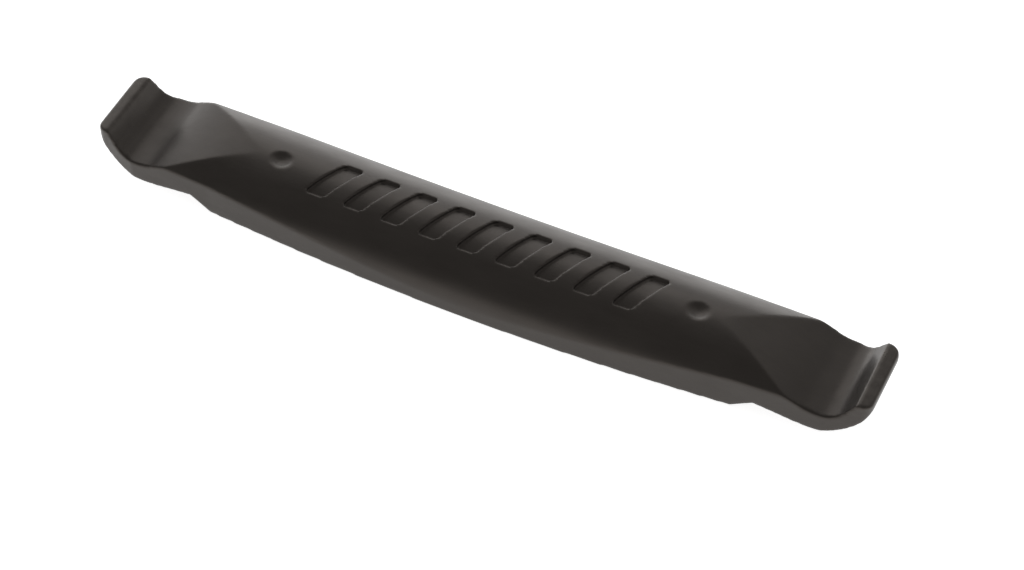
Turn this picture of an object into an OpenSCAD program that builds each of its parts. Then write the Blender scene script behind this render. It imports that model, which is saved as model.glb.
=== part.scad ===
// Double-ended bicycle tyre lever, one injection moulding in glass-filled nylon.
// The lever lies along X on the flat rims of its belly, with its crowned back up.
// Origin: middle of the lever, on the plane of the rims. All sizes are in millimetres.

/* [Overall] */
// Length from lip to lip
lever_len = 124.8; // [121:0.1:128]
// Width across the grip at mid length
grip_w = 18.9; // [18:0.1:20]
// Width across the ends of the belly
belly_w = 15.8; // [15.2:0.1:16.2]
// Width across each hook hollow
trough_w = 15; // [13.8:0.1:15.2]
// Width across each lip, between its round corners
tip_w = 12.8; // [11.4:0.1:13.2]
// Height of the ridge of the crowned back
ridge_h = 8.3; // [8:0.1:9]
// Radius of the lip corners, seen from above
corner_r = 1.9; // [1:0.1:2.5]

/* [Crowned back] */
// Height of the upright side wall at mid length
side_h = 2; // [1.4:0.1:2.2]
// Radius where the back rolls over into the side wall
shoulder_r = 5.2; // [4.6:0.1:5.6]

/* [Spoon ends] */
// Length of each spoon, from the crest where the ridge starts to fall to the lip
spoon_len = 25.4; // [24.6:0.1:26]
// Radius of the ramp's crest; the foot of the ramp takes the rest of the fall
crest_r = 38; // [32:0.5:41]
// Distance of the hook hollow's lowest line from the end of the lever
trough_back = 6.5; // [6:0.1:7.2]
// Height of that lowest line
trough_h = 4.4; // [4:0.1:4.6]
// Inside radius of the hook
hook_r = 3.6; // [3.2:0.1:4]
// Slope of the lip's inner face, above the hook's radius
lip_slope = 55; // [50:1:65]
// Height of the lip's inner edge
lip_h = 8; // [7.9:0.1:8.6]
// Height of the lip's outer edge
lip_edge_h = 7.8; // [7:0.1:7.8]
// Distance of the heel's lowest line from the end of the lever
heel_back = 8.1; // [7.8:0.1:8.3]
// Clearance between the heel and the surface the lever lies on
heel_h = 0.85; // [0.5:0.05:1]
// Outside radius of the heel
heel_r = 8.6; // [8.4:0.1:9.2]
// Slope of the neck's underside, from the heel up towards the belly
neck_angle = 8.5; // [7.5:0.1:10]

/* [Belly] */
// Length of each end that stands clear of the surface, from the belly to the lip
belly_back = 20; // [19:0.1:21]
// Length over which the belly steps up to the neck
step_len = 3.2; // [2.6:0.1:4]

/* [Hollow underside] */
// Thickness of the shell
wall = 2.2; // [1.8:0.1:2.4]
// Half length of the open channel
channel_x = 38; // [36:0.5:39]
// Radius of the channel's corners, seen from below
channel_corner_r = 2; // [1:0.1:2.5]

/* [Dimples] */
// Distance of each dimple from mid length
dimple_x = 33.8; // [33:0.1:34.4]
// Diameter of the round dimples in the back
dimple_d = 3.6; // [3:0.1:4]
// Depth of the dimples
dimple_depth = 0.5; // [0.3:0.05:0.9]

/* [Grip slots] */
// Number of slanted slots pressed into the back
slot_count = 9; // [5:2:11]
// Length of the row of slots
slot_row_len = 56; // [50:1:58]
// Length of one slot across the back
slot_span = 7.2; // [6:0.1:8]
// Width of one slot along the lever
slot_w = 3.2; // [2:0.1:3.6]
// Depth of the slots
slot_depth = 0.6; // [0.3:0.05:0.8]
// Lean of the slots from square across the lever
slot_lean = 24; // [10:1:30]

/* [Hidden] */

// Segments in each round stretch of an outline
arc_steps = 12;
// Amount by which a cutter runs past the surface it cuts
over = 1;

half_len = lever_len / 2;
half_w = grip_w / 2;

// Places along the lever, from mid length
crest_x = half_len - spoon_len;
belly_x = half_len - belly_back;
trough_x = half_len - trough_back;
heel_x = half_len - heel_back;

// Long curve of each side: one arc through mid length and both ends of the belly
side_bow = (grip_w - belly_w) / 2;
side_r = (belly_x * belly_x + side_bow * side_bow) / (2 * side_bow);
side_cy = side_r - half_w;

// Three-centre arch of the back: a wide arc over the top, a tighter one at each shoulder
arch_h = ridge_h - side_h;
shoulder_y = half_w - shoulder_r;
crown_r = (half_w * half_w + arch_h * arch_h - 2 * half_w * shoulder_r)
    / (2 * (arch_h - shoulder_r));
crown_cz = ridge_h - crown_r;
crown_angle = atan2(shoulder_y, side_h - crown_cz);

// Ramp: a convex arc from the ridge and a concave arc to the hook, tangent to each other
ramp_run = trough_x - crest_x;
ramp_fall = ridge_h - trough_h;
ramp_angle = 2 * atan(ramp_fall / ramp_run);
foot_r = ramp_run / sin(ramp_angle) - crest_r;

// Hook: an arc that turns up into the straight inner face of the lip
hook_top = [trough_x + hook_r * sin(lip_slope), trough_h + hook_r * (1 - cos(lip_slope))];
lip_x = hook_top.x + (lip_h - hook_top.y) / tan(lip_slope);

// Heel: the outside arc ends where it meets the end face
heel_cz = heel_h + heel_r;
heel_end_angle = asin(heel_back / heel_r);

// Neck: a straight underside, tangent to the heel
neck_foot = [heel_x - heel_r * sin(neck_angle), heel_cz - heel_r * cos(neck_angle)];
neck_x = belly_x + step_len;
neck_h = neck_foot.y + (neck_foot.x - neck_x) * tan(neck_angle);

// End of the crowned stretch, past the place where the ramp has cut the back away
crown_end = trough_x - 4;

// Points of an arc about a centre, from one angle to another
function arc(c, r, from, to, steps = arc_steps) =
    [for (i = [0:steps]) let (a = from + (to - from) * i / steps) c + r * [cos(a), sin(a)]];

function flip_x(points) = [for (i = [len(points) - 1:-1:0]) [-points[i].x, points[i].y]];
function flip_y(points) = [for (i = [len(points) - 1:-1:0]) [points[i].x, -points[i].y]];

// Right half of the lever seen from the side: x along the lever, y is the height
half_profile = concat(
    arc([crest_x, ridge_h - crest_r], crest_r, 90, 90 - ramp_angle),
    arc([trough_x, trough_h + foot_r], foot_r, 270 - ramp_angle, 270),
    arc([trough_x, trough_h + hook_r], hook_r, 270, 270 + lip_slope),
    [[lip_x, lip_h], [half_len, lip_edge_h]],
    arc([heel_x, heel_cz], heel_r, 270 + heel_end_angle, 270 - neck_angle),
    [[neck_x, neck_h], [belly_x, 0]]
);

// Right half of the side seen from above, from mid length to the middle of the lip's end
half_side = let (turn = asin(belly_x / side_r)) concat(
    arc([0, -side_cy], side_r, 90, 90 - turn),
    [[trough_x, trough_w / 2]],
    arc([half_len - corner_r, tip_w / 2 - corner_r], corner_r, 90, 0)
);

// Right half of the channel seen from below: the side's curve pulled in by the wall
channel_side = let (
        long_r = side_r - wall,
        cx = channel_x - channel_corner_r,
        cy = sqrt(pow(long_r - channel_corner_r, 2) - pow(cx, 2)) - side_cy,
        turn = asin(cx / (long_r - channel_corner_r))
    )
    concat(
        arc([0, -side_cy], long_r, 90, 90 - turn),
        arc([cx, cy], channel_corner_r, 90 - turn, 0)
    );

// Arch of the back seen along the lever, pulled in by inset, standing on a foot at the height low
function arch(inset, low) =
    let (
        right = concat(
            arc([0, crown_cz], crown_r - inset, 90, 90 - crown_angle),
            arc([shoulder_y, side_h], shoulder_r - inset, 90 - crown_angle, 0),
            [[half_w - inset, low]]
        )
    )
    concat(flip_x(right), right);

module side_prism() {
    rotate([90, 0, 0])
        linear_extrude(height = grip_w + 2 * over, center = true)
            polygon(concat(flip_x(half_profile), half_profile));
}

module plan_prism(side) {
    upper = concat(flip_x(side), side);
    translate([0, 0, -over])
        linear_extrude(height = ridge_h + 2 * over)
            polygon(concat(upper, flip_y(upper)));
}

module arch_prism(inset, end_x) {
    rotate([90, 0, 90])
        linear_extrude(height = 2 * end_x, center = true)
            polygon(arch(inset, -over));
}

// The two hooks stand outside the crowned stretch, so that the arch leaves the lips whole
module hook_zone() {
    for (side = [-1, 1])
        translate([side * (crown_end + half_len) / 2, 0, ridge_h / 2])
            cube([half_len - crown_end + over, grip_w, ridge_h + 2 * over], center = true);
}

module blank() {
    intersection() {
        side_prism();
        plan_prism(half_side);
        union() {
            arch_prism(0, crown_end);
            hook_zone();
        }
    }
}

module channel() {
    intersection() {
        arch_prism(wall, channel_x);
        plan_prism(channel_side);
    }
}

// A row of slanted slots that follow the curve of the back at one depth
module grip_slots() {
    pitch = slot_row_len / slot_count;
    shift = slot_span / 2 * tan(slot_lean);
    difference() {
        for (i = [0:slot_count - 1])
            translate([(i - (slot_count - 1) / 2) * pitch, 0, ridge_h - slot_depth - over])
                linear_extrude(height = slot_depth + 2 * over)
                    polygon([
                        [-slot_w / 2 - shift, -slot_span / 2],
                        [slot_w / 2 - shift, -slot_span / 2],
                        [slot_w / 2 + shift, slot_span / 2],
                        [-slot_w / 2 + shift, slot_span / 2]
                    ]);
        arch_prism(slot_depth, half_len);
    }
}

// Each dimple is the foot of a ball that just reaches the dimple's depth
module dimples() {
    ball_r = (pow(dimple_d / 2, 2) + pow(dimple_depth, 2)) / (2 * dimple_depth);
    for (side = [-1, 1])
        translate([side * dimple_x, 0, ridge_h - dimple_depth + ball_r])
            sphere(r = ball_r, $fn = 64);
}

module tyre_lever() {
    color([0.13, 0.125, 0.12])
        difference() {
            blank();
            channel();
            grip_slots();
            dimples();
        }
}

tyre_lever();
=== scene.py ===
# %% [markdown]
# # A double-ended tyre lever
# The real lever is one injection moulding in black glass-filled nylon: a crowned grip in the middle, a
# spoon with a hooked lip at each end, and a hollow underside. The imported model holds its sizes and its
# place. This file gives it its looks: soft moulded edges, a fine-grained skin, a pale table and soft light.
# The frame is loaded first, because every place below is measured from it.

# %% Load the frame
import math

import bpy
from mathutils import Matrix, Vector


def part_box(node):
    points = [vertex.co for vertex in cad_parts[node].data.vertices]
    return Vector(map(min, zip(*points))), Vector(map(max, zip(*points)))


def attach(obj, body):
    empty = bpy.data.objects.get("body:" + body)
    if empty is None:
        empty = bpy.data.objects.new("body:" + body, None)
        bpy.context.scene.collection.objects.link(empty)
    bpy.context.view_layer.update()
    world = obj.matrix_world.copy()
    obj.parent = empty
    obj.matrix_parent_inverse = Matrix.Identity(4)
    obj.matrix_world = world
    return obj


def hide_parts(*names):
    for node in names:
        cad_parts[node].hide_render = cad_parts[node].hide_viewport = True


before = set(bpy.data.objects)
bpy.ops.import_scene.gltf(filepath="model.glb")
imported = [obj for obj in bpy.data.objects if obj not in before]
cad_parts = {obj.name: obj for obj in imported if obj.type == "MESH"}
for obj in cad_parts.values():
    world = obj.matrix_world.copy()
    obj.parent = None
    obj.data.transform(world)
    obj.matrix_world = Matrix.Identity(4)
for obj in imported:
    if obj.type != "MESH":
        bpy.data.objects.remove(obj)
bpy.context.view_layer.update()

MM = 0.001
low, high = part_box("tyre_lever")
print("lever box, mm:", [round(c / MM, 2) for c in (*low, *high)])

# %% [markdown]
# ## The camera
# The lever is seen from its near right, well above the table, through a long lens, so that both ends look
# nearly the same size. The camera could track an empty, but a matrix built from the view's own three
# directions says just as much and leaves nothing behind. The two offsets slide the lever in the picture.
# The lever is bowed later on, which lifts its ends, so the camera stands higher by the same bow.

# %% Place the camera
AZIMUTH = math.radians(25.7)
ELEVATION = math.radians(49.7)
DISTANCE = 407.2 * MM
LENS = 96.75
SLIDE_RIGHT = -3.9 * MM
SLIDE_UP = 2.4 * MM
BOW = 0.7

back = Vector((
    math.sin(AZIMUTH) * math.cos(ELEVATION),
    -math.cos(AZIMUTH) * math.cos(ELEVATION),
    math.sin(ELEVATION),
))
right = Vector((math.cos(AZIMUTH), math.sin(AZIMUTH), 0))
up = back.cross(right)

bpy.ops.object.camera_add()
camera = bpy.context.object
camera.name = "studio_camera"
camera.data.lens = LENS
camera.matrix_world = Matrix((right, up, back)).transposed().to_4x4()
camera.location = DISTANCE * back - SLIDE_RIGHT * right - SLIDE_UP * up
camera.location.z += BOW * MM
bpy.context.scene.camera = camera
print("camera stands", round(camera.location.length / MM), "mm from the lever")

# %% [markdown]
# ## The table
# A pale, glowing table, as a light table in a photo studio, keeps shadows faint and fills the lever's side
# walls from below. It glows more behind the lever, where the far edge of the back mirrors it at a low angle.
# It is only a stage, so it is not part of the object.

# %% Lay the table
TABLE_SIZE = 6.0
TABLE_WHITE = 0.86
TABLE_ROUGH = 0.9
GLOW_FRONT = 0.85
GLOW_BACK = 2.0
GLOW_RISE = (10 * MM, 90 * MM)


def pale_table():
    finish = bpy.data.materials.new("pale_table")
    finish.use_nodes = True
    nodes, links = finish.node_tree.nodes, finish.node_tree.links
    shader = nodes["Principled BSDF"]
    shader.inputs["Base Color"].default_value = (TABLE_WHITE, TABLE_WHITE, TABLE_WHITE, 1)
    shader.inputs["Roughness"].default_value = TABLE_ROUGH
    shader.inputs["Specular IOR Level"].default_value = 0.0
    shader.inputs["Emission Color"].default_value = (1, 1, 1, 1)
    split = nodes.new("ShaderNodeSeparateXYZ")
    rise = nodes.new("ShaderNodeMapRange")
    rise.inputs["From Min"].default_value = GLOW_RISE[0]
    rise.inputs["From Max"].default_value = GLOW_RISE[1]
    rise.inputs["To Min"].default_value = GLOW_FRONT
    rise.inputs["To Max"].default_value = GLOW_BACK
    links.new(nodes.new("ShaderNodeTexCoord").outputs["Object"], split.inputs["Vector"])
    links.new(split.outputs["Y"], rise.inputs["Value"])
    links.new(rise.outputs["Result"], shader.inputs["Emission Strength"])
    return finish


bpy.ops.mesh.primitive_plane_add(size=TABLE_SIZE, location=(0, 0, low.z))
table = bpy.context.object
table.name = "studio_table"
table.data.materials.append(pale_table())
print("table at height", round(low.z / MM, 2), "mm")

# %% [markdown]
# ## The light
# Black plastic shows little but what it mirrors, so the light is arranged as reflections. A long low softbox
# behind the lever brightens the far edge of the back, one on the left fills that end's ramp, and two dim ones
# above fade the light out over the ridge. The front of the room stays dim, and so does the near shoulder.

# %% Set the lights
WALL_LIGHT = 1.0
CEILING_LIGHT = 0.3
WALL_TOP = 26.0


def softbox(name, azimuth, height, distance, width, depth, brightness):
    """An area light that faces the lever. Azimuth runs from straight behind towards the right."""
    a, h = math.radians(azimuth), math.radians(height)
    away = Vector((math.sin(a) * math.cos(h), math.cos(a) * math.cos(h), math.sin(h)))
    bpy.ops.object.light_add(type="AREA", location=away * distance)
    lamp = bpy.context.object
    lamp.name = name
    lamp.data.shape = "RECTANGLE"
    lamp.data.size = width
    lamp.data.size_y = depth
    lamp.data.energy = brightness * math.pi * width * depth
    lamp.rotation_mode = "QUATERNION"
    lamp.rotation_quaternion = away.to_track_quat("Z", "Y")
    lamp.visible_camera = False
    return lamp


def room():
    """A plain room: white walls up to the height of a head, and a dim ceiling above them."""
    world = bpy.data.worlds.new("plain_room")
    world.use_nodes = True
    nodes, links = world.node_tree.nodes, world.node_tree.links
    direction = nodes.new("ShaderNodeTexCoord")
    split = nodes.new("ShaderNodeSeparateXYZ")
    fade = nodes.new("ShaderNodeMapRange")
    fade.inputs["From Min"].default_value = 0.0
    fade.inputs["From Max"].default_value = math.sin(math.radians(WALL_TOP))
    fade.inputs["To Min"].default_value = WALL_LIGHT
    fade.inputs["To Max"].default_value = CEILING_LIGHT
    links.new(direction.outputs["Generated"], split.inputs["Vector"])
    links.new(split.outputs["Z"], fade.inputs["Value"])
    links.new(fade.outputs["Result"], nodes["Background"].inputs["Strength"])
    nodes["Background"].inputs["Color"].default_value = (1, 1, 1, 1)
    return world


bpy.context.scene.world = room()

softbox("softbox_back", azimuth=-25, height=8, distance=1.0, width=1.6, depth=0.34, brightness=1.65)
softbox("softbox_left", azimuth=-42, height=36, distance=1.0, width=0.8, depth=0.5, brightness=1.15)
softbox("softbox_top", azimuth=-5, height=42, distance=1.0, width=0.7, depth=0.5, brightness=0.5)
softbox("softbox_right", azimuth=42, height=40, distance=1.0, width=0.9, depth=0.8, brightness=0.25)
bpy.context.scene.view_settings.view_transform = "Standard"

# %% [markdown]
# ## Drawing outlines by hand
# The lever's shape is three outlines: its side, its plan and the arch of its back. Each could be typed in
# as a list of points, but a draughtsman draws lines and arcs. A small pen does the same with two edit-mode
# operators: Extrude pulls the last vertex along a line, and Spin sweeps it round a centre.

# %% A pen that extrudes and spins
ARC_STEPS = 24
JOIN_MM = 0.001


def clear_selection():
    if bpy.context.mode != "OBJECT":
        bpy.ops.object.mode_set(mode="OBJECT")
    bpy.ops.object.select_all(action="DESELECT")


def pick(piece):
    """Makes a piece the only selected and the active one."""
    clear_selection()
    piece.select_set(True)
    bpy.context.view_layer.objects.active = piece


class Pen:
    """Draws an outline in the plane of two directions, in millimetres, and makes it a solid."""

    def __init__(self, name, across, upward, x, y):
        self.across, self.upward = Vector(across), Vector(upward)
        self.normal = self.across.cross(self.upward)
        self.x, self.y = x, y
        clear_selection()
        bpy.ops.mesh.primitive_plane_add(size=MM)
        self.piece = bpy.context.object
        self.piece.name = name
        bpy.ops.object.mode_set(mode="EDIT")
        bpy.ops.mesh.select_mode(type="VERT")
        bpy.ops.mesh.select_all(action="SELECT")
        bpy.ops.mesh.merge(type="CENTER")
        bpy.ops.transform.translate(value=self.place(x, y))

    def place(self, x, y):
        return (self.across * x + self.upward * y) * MM

    def line(self, x, y):
        step = self.place(x - self.x, y - self.y)
        bpy.ops.mesh.extrude_region_move(TRANSFORM_OT_translate={"value": step})
        self.x, self.y = x, y

    def arc(self, centre_x, centre_y, degrees):
        """Anticlockwise for positive degrees, seen with the first direction to the right."""
        turn = math.radians(degrees)
        bpy.ops.mesh.spin(
            steps=ARC_STEPS, angle=-turn, center=self.place(centre_x, centre_y), axis=self.normal
        )
        dx, dy = self.x - centre_x, self.y - centre_y
        self.x = centre_x + dx * math.cos(turn) - dy * math.sin(turn)
        self.y = centre_y + dx * math.sin(turn) + dy * math.cos(turn)

    def corner(self, x, y, next_x, next_y, radius):
        """A line towards a corner, then an arc that turns to face the next point."""
        before = Vector((x - self.x, y - self.y)).normalized()
        after = Vector((next_x - x, next_y - y)).normalized()
        turn = math.atan2(before.x * after.y - before.y * after.x, before.dot(after))
        start = Vector((x, y)) - before * radius * math.tan(abs(turn) / 2)
        centre = start + Vector((-before.y, before.x)) * math.copysign(radius, turn)
        self.line(start.x, start.y)
        self.arc(centre.x, centre.y, math.degrees(turn))

    def mirror(self, direction):
        """Copies the outline across the origin along a direction, and joins the halves."""
        flip = [-1 if abs(c) > 0.5 else 1 for c in direction]
        bpy.ops.mesh.select_all(action="SELECT")
        bpy.ops.mesh.duplicate()
        bpy.ops.transform.resize(value=flip, center_override=(0, 0, 0))
        bpy.ops.mesh.select_all(action="SELECT")
        bpy.ops.mesh.remove_doubles(threshold=JOIN_MM * MM)

    def solid(self, start, end):
        """Fills the outline and pulls it from one distance to another, square to its plane."""
        bpy.ops.mesh.select_all(action="SELECT")
        bpy.ops.mesh.edge_face_add()
        bpy.ops.transform.translate(value=self.normal * start * MM)
        bpy.ops.mesh.extrude_region_move(
            TRANSFORM_OT_translate={"value": self.normal * (end - start) * MM}
        )
        bpy.ops.mesh.select_all(action="SELECT")
        bpy.ops.mesh.normals_make_consistent(inside=False)
        bpy.ops.object.mode_set(mode="OBJECT")
        print(self.piece.name, "has", len(self.piece.data.polygons), "faces")
        return self.piece


X, Y, Z = (1, 0, 0), (0, 1, 0), (0, 0, 1)

# %% [markdown]
# ## The side of the lever
# Seen from the side, the ridge runs level, falls over a rounded crest down a hollow ramp, turns up into the
# hook and ends in a thin lip. Underneath, the heel sweeps back to the flat belly. Neighbouring arcs share
# their tangents, so the ramp feels like one sweep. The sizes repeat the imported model's, in millimetres.

# %% Draw the side
HALF_LEN = high.x / MM
HALF_W = high.y / MM
RIDGE_H = high.z / MM
LIP_H = 8.0
CREST_X = HALF_LEN - 25.4
CREST_R = 38.0
TROUGH_X = HALF_LEN - 6.5
TROUGH_H = 4.4
HOOK_R = 3.6
LIP_SLOPE = 55.0
LIP_EDGE_H = 7.8
RIM_R = 0.5
HEEL_X = HALF_LEN - 8.1
HEEL_H = 0.85
HEEL_R = 8.6
NECK_ANGLE = 8.5
BELLY_X = HALF_LEN - 20.0
STEP_LEN = 3.2
SPARE = 2.0

ramp_run = TROUGH_X - CREST_X
ramp_fall = RIDGE_H - TROUGH_H
ramp_angle = 2 * math.degrees(math.atan(ramp_fall / ramp_run))
foot_r = ramp_run / math.sin(math.radians(ramp_angle)) - CREST_R
lip_slope = math.radians(LIP_SLOPE)
hook_top_x = TROUGH_X + HOOK_R * math.sin(lip_slope)
hook_top_h = TROUGH_H + HOOK_R * (1 - math.cos(lip_slope))
lip_x = hook_top_x + (LIP_H - hook_top_h) / math.tan(lip_slope)
heel_centre = HEEL_H + HEEL_R
heel_end_angle = math.degrees(math.asin((HALF_LEN - HEEL_X) / HEEL_R))
heel_end_h = heel_centre - HEEL_R * math.cos(math.radians(heel_end_angle))
neck_rise = math.tan(math.radians(NECK_ANGLE))
neck_x = BELLY_X + STEP_LEN

side = Pen("side_slab", X, Z, 0, RIDGE_H)
side.line(CREST_X, RIDGE_H)
side.arc(CREST_X, RIDGE_H - CREST_R, -ramp_angle)
side.arc(TROUGH_X, TROUGH_H + foot_r, ramp_angle)
side.arc(TROUGH_X, TROUGH_H + HOOK_R, LIP_SLOPE)
side.corner(lip_x, LIP_H, HALF_LEN, LIP_EDGE_H, RIM_R)
side.corner(HALF_LEN, LIP_EDGE_H, HALF_LEN, heel_end_h, RIM_R)
side.line(HALF_LEN, heel_end_h)
side.arc(HEEL_X, heel_centre, -heel_end_angle - NECK_ANGLE)
side.line(neck_x, side.y + (side.x - neck_x) * neck_rise)
side.line(BELLY_X, 0)
side.line(0, 0)
side.mirror(X)
side_slab = side.solid(-HALF_W - SPARE, HALF_W + SPARE)

# %% [markdown]
# ## The plan of the lever
# Seen from above, each side is one very long arc along the grip that runs on as a straight taper to the
# round-cornered lip. Only a quarter is drawn, then mirrored twice.

# %% Draw the plan
BELLY_W = 15.8
TROUGH_W = 15.0
TIP_W = 12.8
CORNER_R = 1.9

side_bow = HALF_W - BELLY_W / 2
side_r = (BELLY_X**2 + side_bow**2) / (2 * side_bow)
side_turn = math.degrees(math.asin(BELLY_X / side_r))

plan = Pen("plan_slab", X, Y, 0, HALF_W)
plan.arc(0, HALF_W - side_r, -side_turn)
plan.line(TROUGH_X, TROUGH_W / 2)
plan.line(HALF_LEN - CORNER_R, TIP_W / 2)
plan.arc(HALF_LEN - CORNER_R, TIP_W / 2 - CORNER_R, -90)
plan.line(HALF_LEN, 0)
plan.mirror(X)
plan.mirror(Y)
plan_slab = plan.solid(-SPARE, RIDGE_H + SPARE)

# %% [markdown]
# ## The arch of the back
# Seen along the lever, the back is a wide crown that rolls over a tighter shoulder into a low upright
# wall. The same arch, drawn smaller by the wall's thickness, is the roof of the hollow underside.

# %% Draw the arch
SIDE_H = 2.0
SHOULDER_R = 5.2

arch_h = RIDGE_H - SIDE_H
shoulder_y = HALF_W - SHOULDER_R
crown_r = (HALF_W**2 + arch_h**2 - 2 * HALF_W * SHOULDER_R) / (2 * (arch_h - SHOULDER_R))
crown_centre = RIDGE_H - crown_r
crown_angle = math.degrees(math.atan2(shoulder_y, SIDE_H - crown_centre))


def arch(name, inset, half_length):
    """A long bar with the section of the back, pulled in all round by an inset."""
    pen = Pen(name, Y, Z, 0, RIDGE_H - inset)
    pen.arc(0, crown_centre, -crown_angle)
    pen.arc(shoulder_y, SIDE_H, crown_angle - 90)
    pen.line(HALF_W - inset, -SPARE)
    pen.line(0, -SPARE)
    pen.mirror(Y)
    return pen.solid(-half_length, half_length)


CROWN_BACK = 4.0
CROWN_END = TROUGH_X - CROWN_BACK
lever = arch("tyre_lever_moulding", 0, CROWN_END)
print("crown radius", round(crown_r, 2), "mm, over", round(crown_angle, 1), "degrees each way")

# %% [markdown]
# ## Cutting the blank
# The lips stand outside the crowned stretch, so a block is joined to each end of the arch. What the three
# shapes have in common is then the lever, which the Boolean modifier finds as a pattern maker would with
# three saw cuts.

# %% Join the end blocks and cut to shape


def boolean(piece, cutter, operation):
    """Applies one Boolean modifier to a piece and takes the cutter away."""
    pick(piece)
    cut = piece.modifiers.new(operation.lower(), "BOOLEAN")
    cut.operation = operation
    cut.solver = "EXACT"
    cut.object = cutter
    bpy.ops.object.modifier_apply(modifier=cut.name)
    bpy.data.objects.remove(cutter)
    print(piece.name, "after", operation.lower(), "has", len(piece.data.polygons), "faces")


def block(name, x0, x1, half_y, z0, z1):
    """A box between two places along the lever, in millimetres."""
    clear_selection()
    bpy.ops.mesh.primitive_cube_add(
        size=1,
        location=((x0 + x1) / 2 * MM, 0, (z0 + z1) / 2 * MM),
        scale=((x1 - x0) * MM, 2 * half_y * MM, (z1 - z0) * MM),
    )
    bpy.ops.object.transform_apply(location=True, rotation=False, scale=True)
    bpy.context.object.name = name
    return bpy.context.object


for end in (-1, 1):
    inner, outer = end * CROWN_END, end * (HALF_LEN + SPARE)
    x0, x1 = min(inner, outer), max(inner, outer)
    boolean(lever, block("end_block", x0, x1, HALF_W, -SPARE, RIDGE_H + SPARE), "UNION")
boolean(lever, plan_slab, "INTERSECT")
boolean(lever, side_slab, "INTERSECT")

# %% [markdown]
# ## The hollow underside
# A moulded lever is cored out from below, so that its wall stays even and cools without sinking. The core
# is the smaller arch, cut to the plan's curve pulled in by the wall, with round corners at its ends.

# %% Core out the underside
WALL = 2.2
CHANNEL_X = 38.0
CHANNEL_CORNER_R = 2.0
CORE_LOW = -SPARE - 1

channel_r = side_r - WALL
corner_x = CHANNEL_X - CHANNEL_CORNER_R
corner_y = math.sqrt((channel_r - CHANNEL_CORNER_R) ** 2 - corner_x**2) + HALF_W - side_r
channel_turn = math.degrees(math.asin(corner_x / (channel_r - CHANNEL_CORNER_R)))

core_plan = Pen("core_plan", X, Y, 0, HALF_W - WALL)
core_plan.arc(0, HALF_W - side_r, -channel_turn)
core_plan.arc(corner_x, corner_y, channel_turn - 90)
core_plan.line(CHANNEL_X, 0)
core_plan.mirror(X)
core_plan.mirror(Y)
core_slab = core_plan.solid(CORE_LOW, RIDGE_H)
core = arch("core", WALL, CHANNEL_X)
boolean(core, core_slab, "INTERSECT")
boolean(lever, core, "DIFFERENCE")

# %% [markdown]
# ## Ejector marks
# Pins push a cooled moulding out of its mould, and each leaves a shallow round mark inside, where nobody
# looks. A cylinder that stops just past the hollow's roof cuts each one.

# %% Press in the ejector marks
PIN_R = 1.5
PIN_DEPTH = 0.3
PIN_LEN = 2.0
PIN_SIDES = 48
PIN_XS = (-30.0, -12.0, 12.0, 30.0)
PIN_Z = RIDGE_H - WALL + PIN_DEPTH - PIN_LEN / 2

for pin_x in PIN_XS:
    clear_selection()
    bpy.ops.mesh.primitive_cylinder_add(
        vertices=PIN_SIDES, radius=PIN_R * MM, depth=PIN_LEN * MM, end_fill_type="NGON",
        location=(pin_x * MM, 0, PIN_Z * MM),
    )
    bpy.ops.object.transform_apply(location=True, rotation=False, scale=False)
    bpy.context.object.name = "ejector_pin"
    boolean(lever, bpy.context.object, "DIFFERENCE")

# %% [markdown]
# ## The dimples
# A shallow round dimple stands at each end of the grip. Each is the foot of a ball, taken out of the ridge.

# %% Press in the dimples
DIMPLE_X = 33.8
DIMPLE_D = 3.6
DIMPLE_DEPTH = 0.5

ball_r = ((DIMPLE_D / 2) ** 2 + DIMPLE_DEPTH**2) / (2 * DIMPLE_DEPTH)


def ball(name, x, z, radius):
    """A fine ball on the lever's middle plane, in millimetres."""
    clear_selection()
    bpy.ops.mesh.primitive_uv_sphere_add(
        segments=64, ring_count=32, radius=radius * MM, location=(x * MM, 0, z * MM)
    )
    bpy.ops.object.transform_apply(location=True, rotation=False, scale=False)
    bpy.context.object.name = name
    return bpy.context.object


for end in (-1, 1):
    dimple = ball("dimple_ball", end * DIMPLE_X, RIDGE_H - DIMPLE_DEPTH + ball_r, ball_r)
    boolean(lever, dimple, "DIFFERENCE")

# %% [markdown]
# ## One skin with soft edges
# Nylon shrinks as it cools and the mould's own corners are rounded, so no edge of the real lever is sharp.
# A bevel would stumble where the ramp melts into the crown. A voxel remesh welds the cuts into one skin of
# even little faces instead, and smoothing passes then round every edge alike.

# %% Weld and round the body


def apply_modifier(piece, kind, **settings):
    """Adds one modifier with its settings and applies it."""
    pick(piece)
    modifier = piece.modifiers.new(kind.lower(), kind)
    for name, value in settings.items():
        setattr(modifier, name, value)
    bpy.ops.object.modifier_apply(modifier=modifier.name)


def weld(piece, voxel, passes):
    apply_modifier(piece, "REMESH", mode="VOXEL", voxel_size=voxel * MM)
    apply_modifier(piece, "SMOOTH", factor=0.5, iterations=passes)
    print(piece.name, "welded into", len(piece.data.polygons), "faces")


weld(lever, voxel=0.2, passes=8)

# %% [markdown]
# ## Grip slots
# Nine slanted slots are pressed into the back for the thumb. One slot cutter is modelled and copied along
# the lever. Taking the smaller arch away from the cutter leaves every slot the same depth across the curve
# of the back. The cuts come after the body is rounded, so a second, finer weld keeps their edges crisper
# than the lips.

# %% Press in the slots
SLOT_COUNT = 9
SLOT_ROW_LEN = 56.0
SLOT_SPAN = 7.2
SLOT_W = 3.2
SLOT_DEPTH = 0.6
SLOT_LEAN = 24.0
SLOT_CORNER_R = 0.7
SLOT_CORNER_STEPS = 5
CUTTER_BELOW = 3
CUTTER_ABOVE = 1

slot_pitch = SLOT_ROW_LEN / SLOT_COUNT
slot_shift = SLOT_SPAN / 2 * math.tan(math.radians(SLOT_LEAN))


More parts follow.
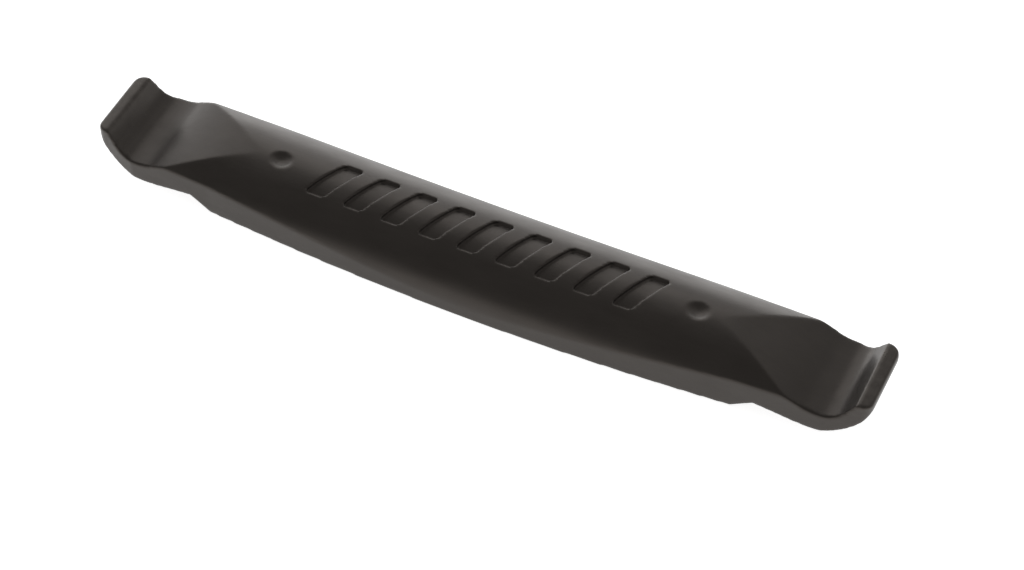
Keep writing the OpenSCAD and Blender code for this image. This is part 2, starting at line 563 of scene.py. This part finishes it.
def select_faces(piece, wanted):
    """Selects, in edit mode, the faces for which wanted(face) is true."""
    bpy.ops.object.mode_set(mode="EDIT")
    bpy.ops.mesh.select_mode(type="FACE")
    bpy.ops.mesh.select_all(action="DESELECT")
    bpy.ops.object.mode_set(mode="OBJECT")
    for face in piece.data.polygons:
        face.select = wanted(face)
    bpy.ops.object.mode_set(mode="EDIT")


def slot_cutter():
    """A leaning bar with round corners, standing through the ridge at mid length."""
    bottom, top = RIDGE_H - CUTTER_BELOW, RIDGE_H + CUTTER_ABOVE
    bar = block("slot_cutter", -SLOT_W / 2, SLOT_W / 2, SLOT_SPAN / 2, bottom, top)
    for way in (-1, 1):
        select_faces(bar, lambda face: face.normal.y * way > 0.9)
        bpy.ops.transform.translate(value=(way * slot_shift * MM, 0, 0))
    bpy.ops.mesh.select_mode(type="EDGE")
    bpy.ops.mesh.select_all(action="DESELECT")
    bpy.ops.object.mode_set(mode="OBJECT")
    for edge in bar.data.edges:
        a, b = (bar.data.vertices[i].co for i in edge.vertices)
        edge.select = abs(a.z - b.z) > MM
    bpy.ops.object.mode_set(mode="EDIT")
    bpy.ops.mesh.bevel(offset=SLOT_CORNER_R * MM, segments=SLOT_CORNER_STEPS)
    bpy.ops.object.mode_set(mode="OBJECT")
    boolean(bar, arch("slot_floor", SLOT_DEPTH, HALF_LEN), "DIFFERENCE")
    return bar


def copy_along(piece, distance):
    """A copy of a piece with its own mesh, moved along the lever."""
    pick(piece)
    bpy.ops.object.duplicate()
    bpy.ops.transform.translate(value=(distance * MM, 0, 0))
    bpy.ops.object.transform_apply(location=True, rotation=False, scale=False)
    return bpy.context.object


def join(pieces):
    """Makes several separate pieces one object."""
    clear_selection()
    for piece in pieces:
        piece.select_set(True)
    bpy.context.view_layer.objects.active = pieces[0]
    bpy.ops.object.join()
    return bpy.context.object


first = slot_cutter()
cutters = [
    copy_along(first, (i - (SLOT_COUNT - 1) / 2) * slot_pitch) for i in range(SLOT_COUNT)
]
bpy.data.objects.remove(first)
boolean(lever, join(cutters), "DIFFERENCE")
weld(lever, voxel=0.16, passes=3)

# %% [markdown]
# ## A slight bow
# A long moulding rarely stays straight: the lips of this one sit a little higher than a straight belly
# would hold them. A lattice, a loose cage of a few points, lifts both ends by the same small sweep.

# %% Bow the lever
CAGE_POINTS = 9
CAGE_LEN = 2.1 * HALF_LEN
CAGE_W = 2.4 * HALF_W
CAGE_H = 3 * RIDGE_H

clear_selection()
bpy.ops.object.add(type="LATTICE")
cage = bpy.context.object
cage.data.points_u = CAGE_POINTS
cage.data.points_v = 2
cage.data.points_w = 2
cage.scale = (CAGE_LEN * MM, CAGE_W * MM, CAGE_H * MM)
for point in cage.data.points:
    x = point.co.x * CAGE_LEN
    lift = BOW * min(1.0, abs(x) / BELLY_X) ** 2
    point.co_deform = point.co + Vector((0, 0, lift / CAGE_H))
apply_modifier(lever, "LATTICE", object=cage)
bpy.data.objects.remove(cage)

# %% [markdown]
# ## Thinning
# The even little faces are more than flat stretches need. Decimate merges them where the surface is plain
# and keeps them at the lips and slots.

# %% Thin the skin
MOST_TRIANGLES = 180_000

triangles = sum(len(face.vertices) - 2 for face in lever.data.polygons)
apply_modifier(lever, "DECIMATE", ratio=min(1.0, MOST_TRIANGLES / triangles))
bpy.ops.object.shade_smooth()
print("thinned from", triangles, "triangles to", len(lever.data.polygons), "faces")

# %% [markdown]
# ## The finish of moulded nylon
# Glass-filled nylon comes out of the mould satin black with a warm tinge. Its skin has a fine grain over a
# faint unevenness, and flow marks run along the lever. Use leaves its own marks: the lips are scratched
# lengthwise where they slide between a tyre's bead and the wheel. The top rims of the lips are paler and
# shinier in patches, partly rubbed by use and partly a painted highlight along the rims.
# Image textures could hold all this, but patterns built from noise need no file and have no seams.

# %% Mix the nylon finish
GRAIN_MM = 0.28
FLOW_MM = 2.5
SCRATCH_MM = 0.12
SCRATCH_STRETCH = (14, 1, 1)
SCRATCH_BAND = (0.6, 0.72)
MOST_SCRATCHED = 0.8
PATCH_MM = 1.2
LEAST_RUB_AND_HIGHLIGHT = 0.15
UNEVEN_MM = 1.6
UNEVEN_DEPTH = 0.03
GRAIN_DEPTH = 0.02
BUMP_STRENGTH = 0.3
SATIN = (0.30, 0.40)
MOST_POLISH = 0.07
LIP_WEAR_AND_HIGHLIGHT = ((HALF_LEN - 8) * MM, (HALF_LEN - 2) * MM)
RIM_RUB_AND_HIGHLIGHT = ((LIP_H + BOW - 1.2) * MM, (LIP_H + BOW) * MM)
BLACK = (0.0125, 0.0108, 0.0096, 1)
SOFT_BLACK = (0.0180, 0.0158, 0.0142, 1)
# A paler grey for the scratches and the rubbed rims; on the rim tops it is also a painted highlight.
WORN_AND_HIGHLIGHT_GREY = (0.040, 0.036, 0.032, 1)


def nylon():
    finish = bpy.data.materials.new("moulded_nylon")
    finish.use_nodes = True
    nodes, links = finish.node_tree.nodes, finish.node_tree.links
    shader = nodes["Principled BSDF"]
    shader.inputs["Specular Tint"].default_value = (1.0, 0.88, 0.79, 1)
    place = nodes.new("ShaderNodeTexCoord").outputs["Object"]

    def noise(size_mm, detail, stretch=(1, 1, 1)):
        """Noise with patches of a given size, drawn out along the lever by a stretch."""
        mapping = nodes.new("ShaderNodeMapping")
        mapping.inputs["Scale"].default_value = [1 / (size_mm * MM * s) for s in stretch]
        texture = nodes.new("ShaderNodeTexNoise")
        texture.inputs["Scale"].default_value = 1
        texture.inputs["Detail"].default_value = detail
        links.new(place, mapping.inputs["Vector"])
        links.new(mapping.outputs["Vector"], texture.inputs["Vector"])
        return texture.outputs["Fac"]

    def spread(value, least, most, start=0.3, end=0.7):
        """Maps a stretch of one value onto a range."""
        node = nodes.new("ShaderNodeMapRange")
        node.inputs["From Min"].default_value = start
        node.inputs["From Max"].default_value = end
        node.inputs["To Min"].default_value = least
        node.inputs["To Max"].default_value = most
        links.new(value, node.inputs["Value"])
        return node.outputs["Result"]

    def calculate(operation, a, b=None):
        """One sum on one or two values."""
        node = nodes.new("ShaderNodeMath")
        node.operation = operation
        for socket, value in zip(node.inputs, (a, b)):
            if value is not None:
                links.new(value, socket)
        return node.outputs["Value"]

    def blend(factor, a, b):
        """A colour between two, of which either may come from another blend."""
        node = nodes.new("ShaderNodeMix")
        node.data_type = "RGBA"
        for name, colour in (("A", a), ("B", b)):
            socket = next(i for i in node.inputs if i.name == name and i.type == "RGBA")
            if isinstance(colour, tuple):
                socket.default_value = colour
            else:
                links.new(colour, socket)
        links.new(factor, node.inputs["Factor"])
        return next(o for o in node.outputs if o.type == "RGBA")

    split = nodes.new("ShaderNodeSeparateXYZ")
    links.new(place, split.inputs["Vector"])
    from_middle = calculate("ABSOLUTE", split.outputs["X"])

    flow = spread(noise(FLOW_MM, 4, stretch=(3, 1, 1)), 0, 1)
    near_lip = spread(from_middle, 0, 1, *LIP_WEAR_AND_HIGHLIGHT)
    near_rim = spread(split.outputs["Z"], 0, 1, *RIM_RUB_AND_HIGHLIGHT)
    patches = spread(noise(PATCH_MM, 3), LEAST_RUB_AND_HIGHLIGHT, 1)
    # The top band of the lip rims turns paler: partly rubbing from use, partly a painted highlight.
    rubbed_and_highlight = calculate("MULTIPLY", calculate("MULTIPLY", near_rim, near_lip), patches)
    streaks = noise(SCRATCH_MM, 2, stretch=SCRATCH_STRETCH)
    scratches = spread(streaks, 0, MOST_SCRATCHED, *SCRATCH_BAND)
    scuffed = calculate("MULTIPLY", scratches, near_lip)
    worn_and_highlight = calculate("MAXIMUM", rubbed_and_highlight, scuffed)

    black = blend(flow, BLACK, SOFT_BLACK)
    # The paler grey lays the scratches and the painted rim highlight over the black.
    links.new(blend(worn_and_highlight, black, WORN_AND_HIGHLIGHT_GREY), shader.inputs["Base Color"])

    satin = spread(noise(FLOW_MM, 6, stretch=(2, 1, 1)), *SATIN)
    polish = spread(rubbed_and_highlight, 0, MOST_POLISH, 0, 1)
    links.new(calculate("SUBTRACT", satin, polish), shader.inputs["Roughness"])

    uneven = nodes.new("ShaderNodeBump")
    uneven.inputs["Strength"].default_value = BUMP_STRENGTH
    uneven.inputs["Distance"].default_value = UNEVEN_DEPTH * MM
    links.new(noise(UNEVEN_MM, 2), uneven.inputs["Height"])
    grain = nodes.new("ShaderNodeBump")
    grain.inputs["Strength"].default_value = BUMP_STRENGTH
    grain.inputs["Distance"].default_value = GRAIN_DEPTH * MM
    links.new(noise(GRAIN_MM, 3), grain.inputs["Height"])
    links.new(uneven.outputs["Normal"], grain.inputs["Normal"])
    links.new(grain.outputs["Normal"], shader.inputs["Normal"])
    return finish


lever.data.materials.clear()
lever.data.materials.append(nylon())
print("finish:", lever.data.materials[0].name)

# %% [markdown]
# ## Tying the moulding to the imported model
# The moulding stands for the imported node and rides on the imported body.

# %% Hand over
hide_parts("tyre_lever")
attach(lever, "root")
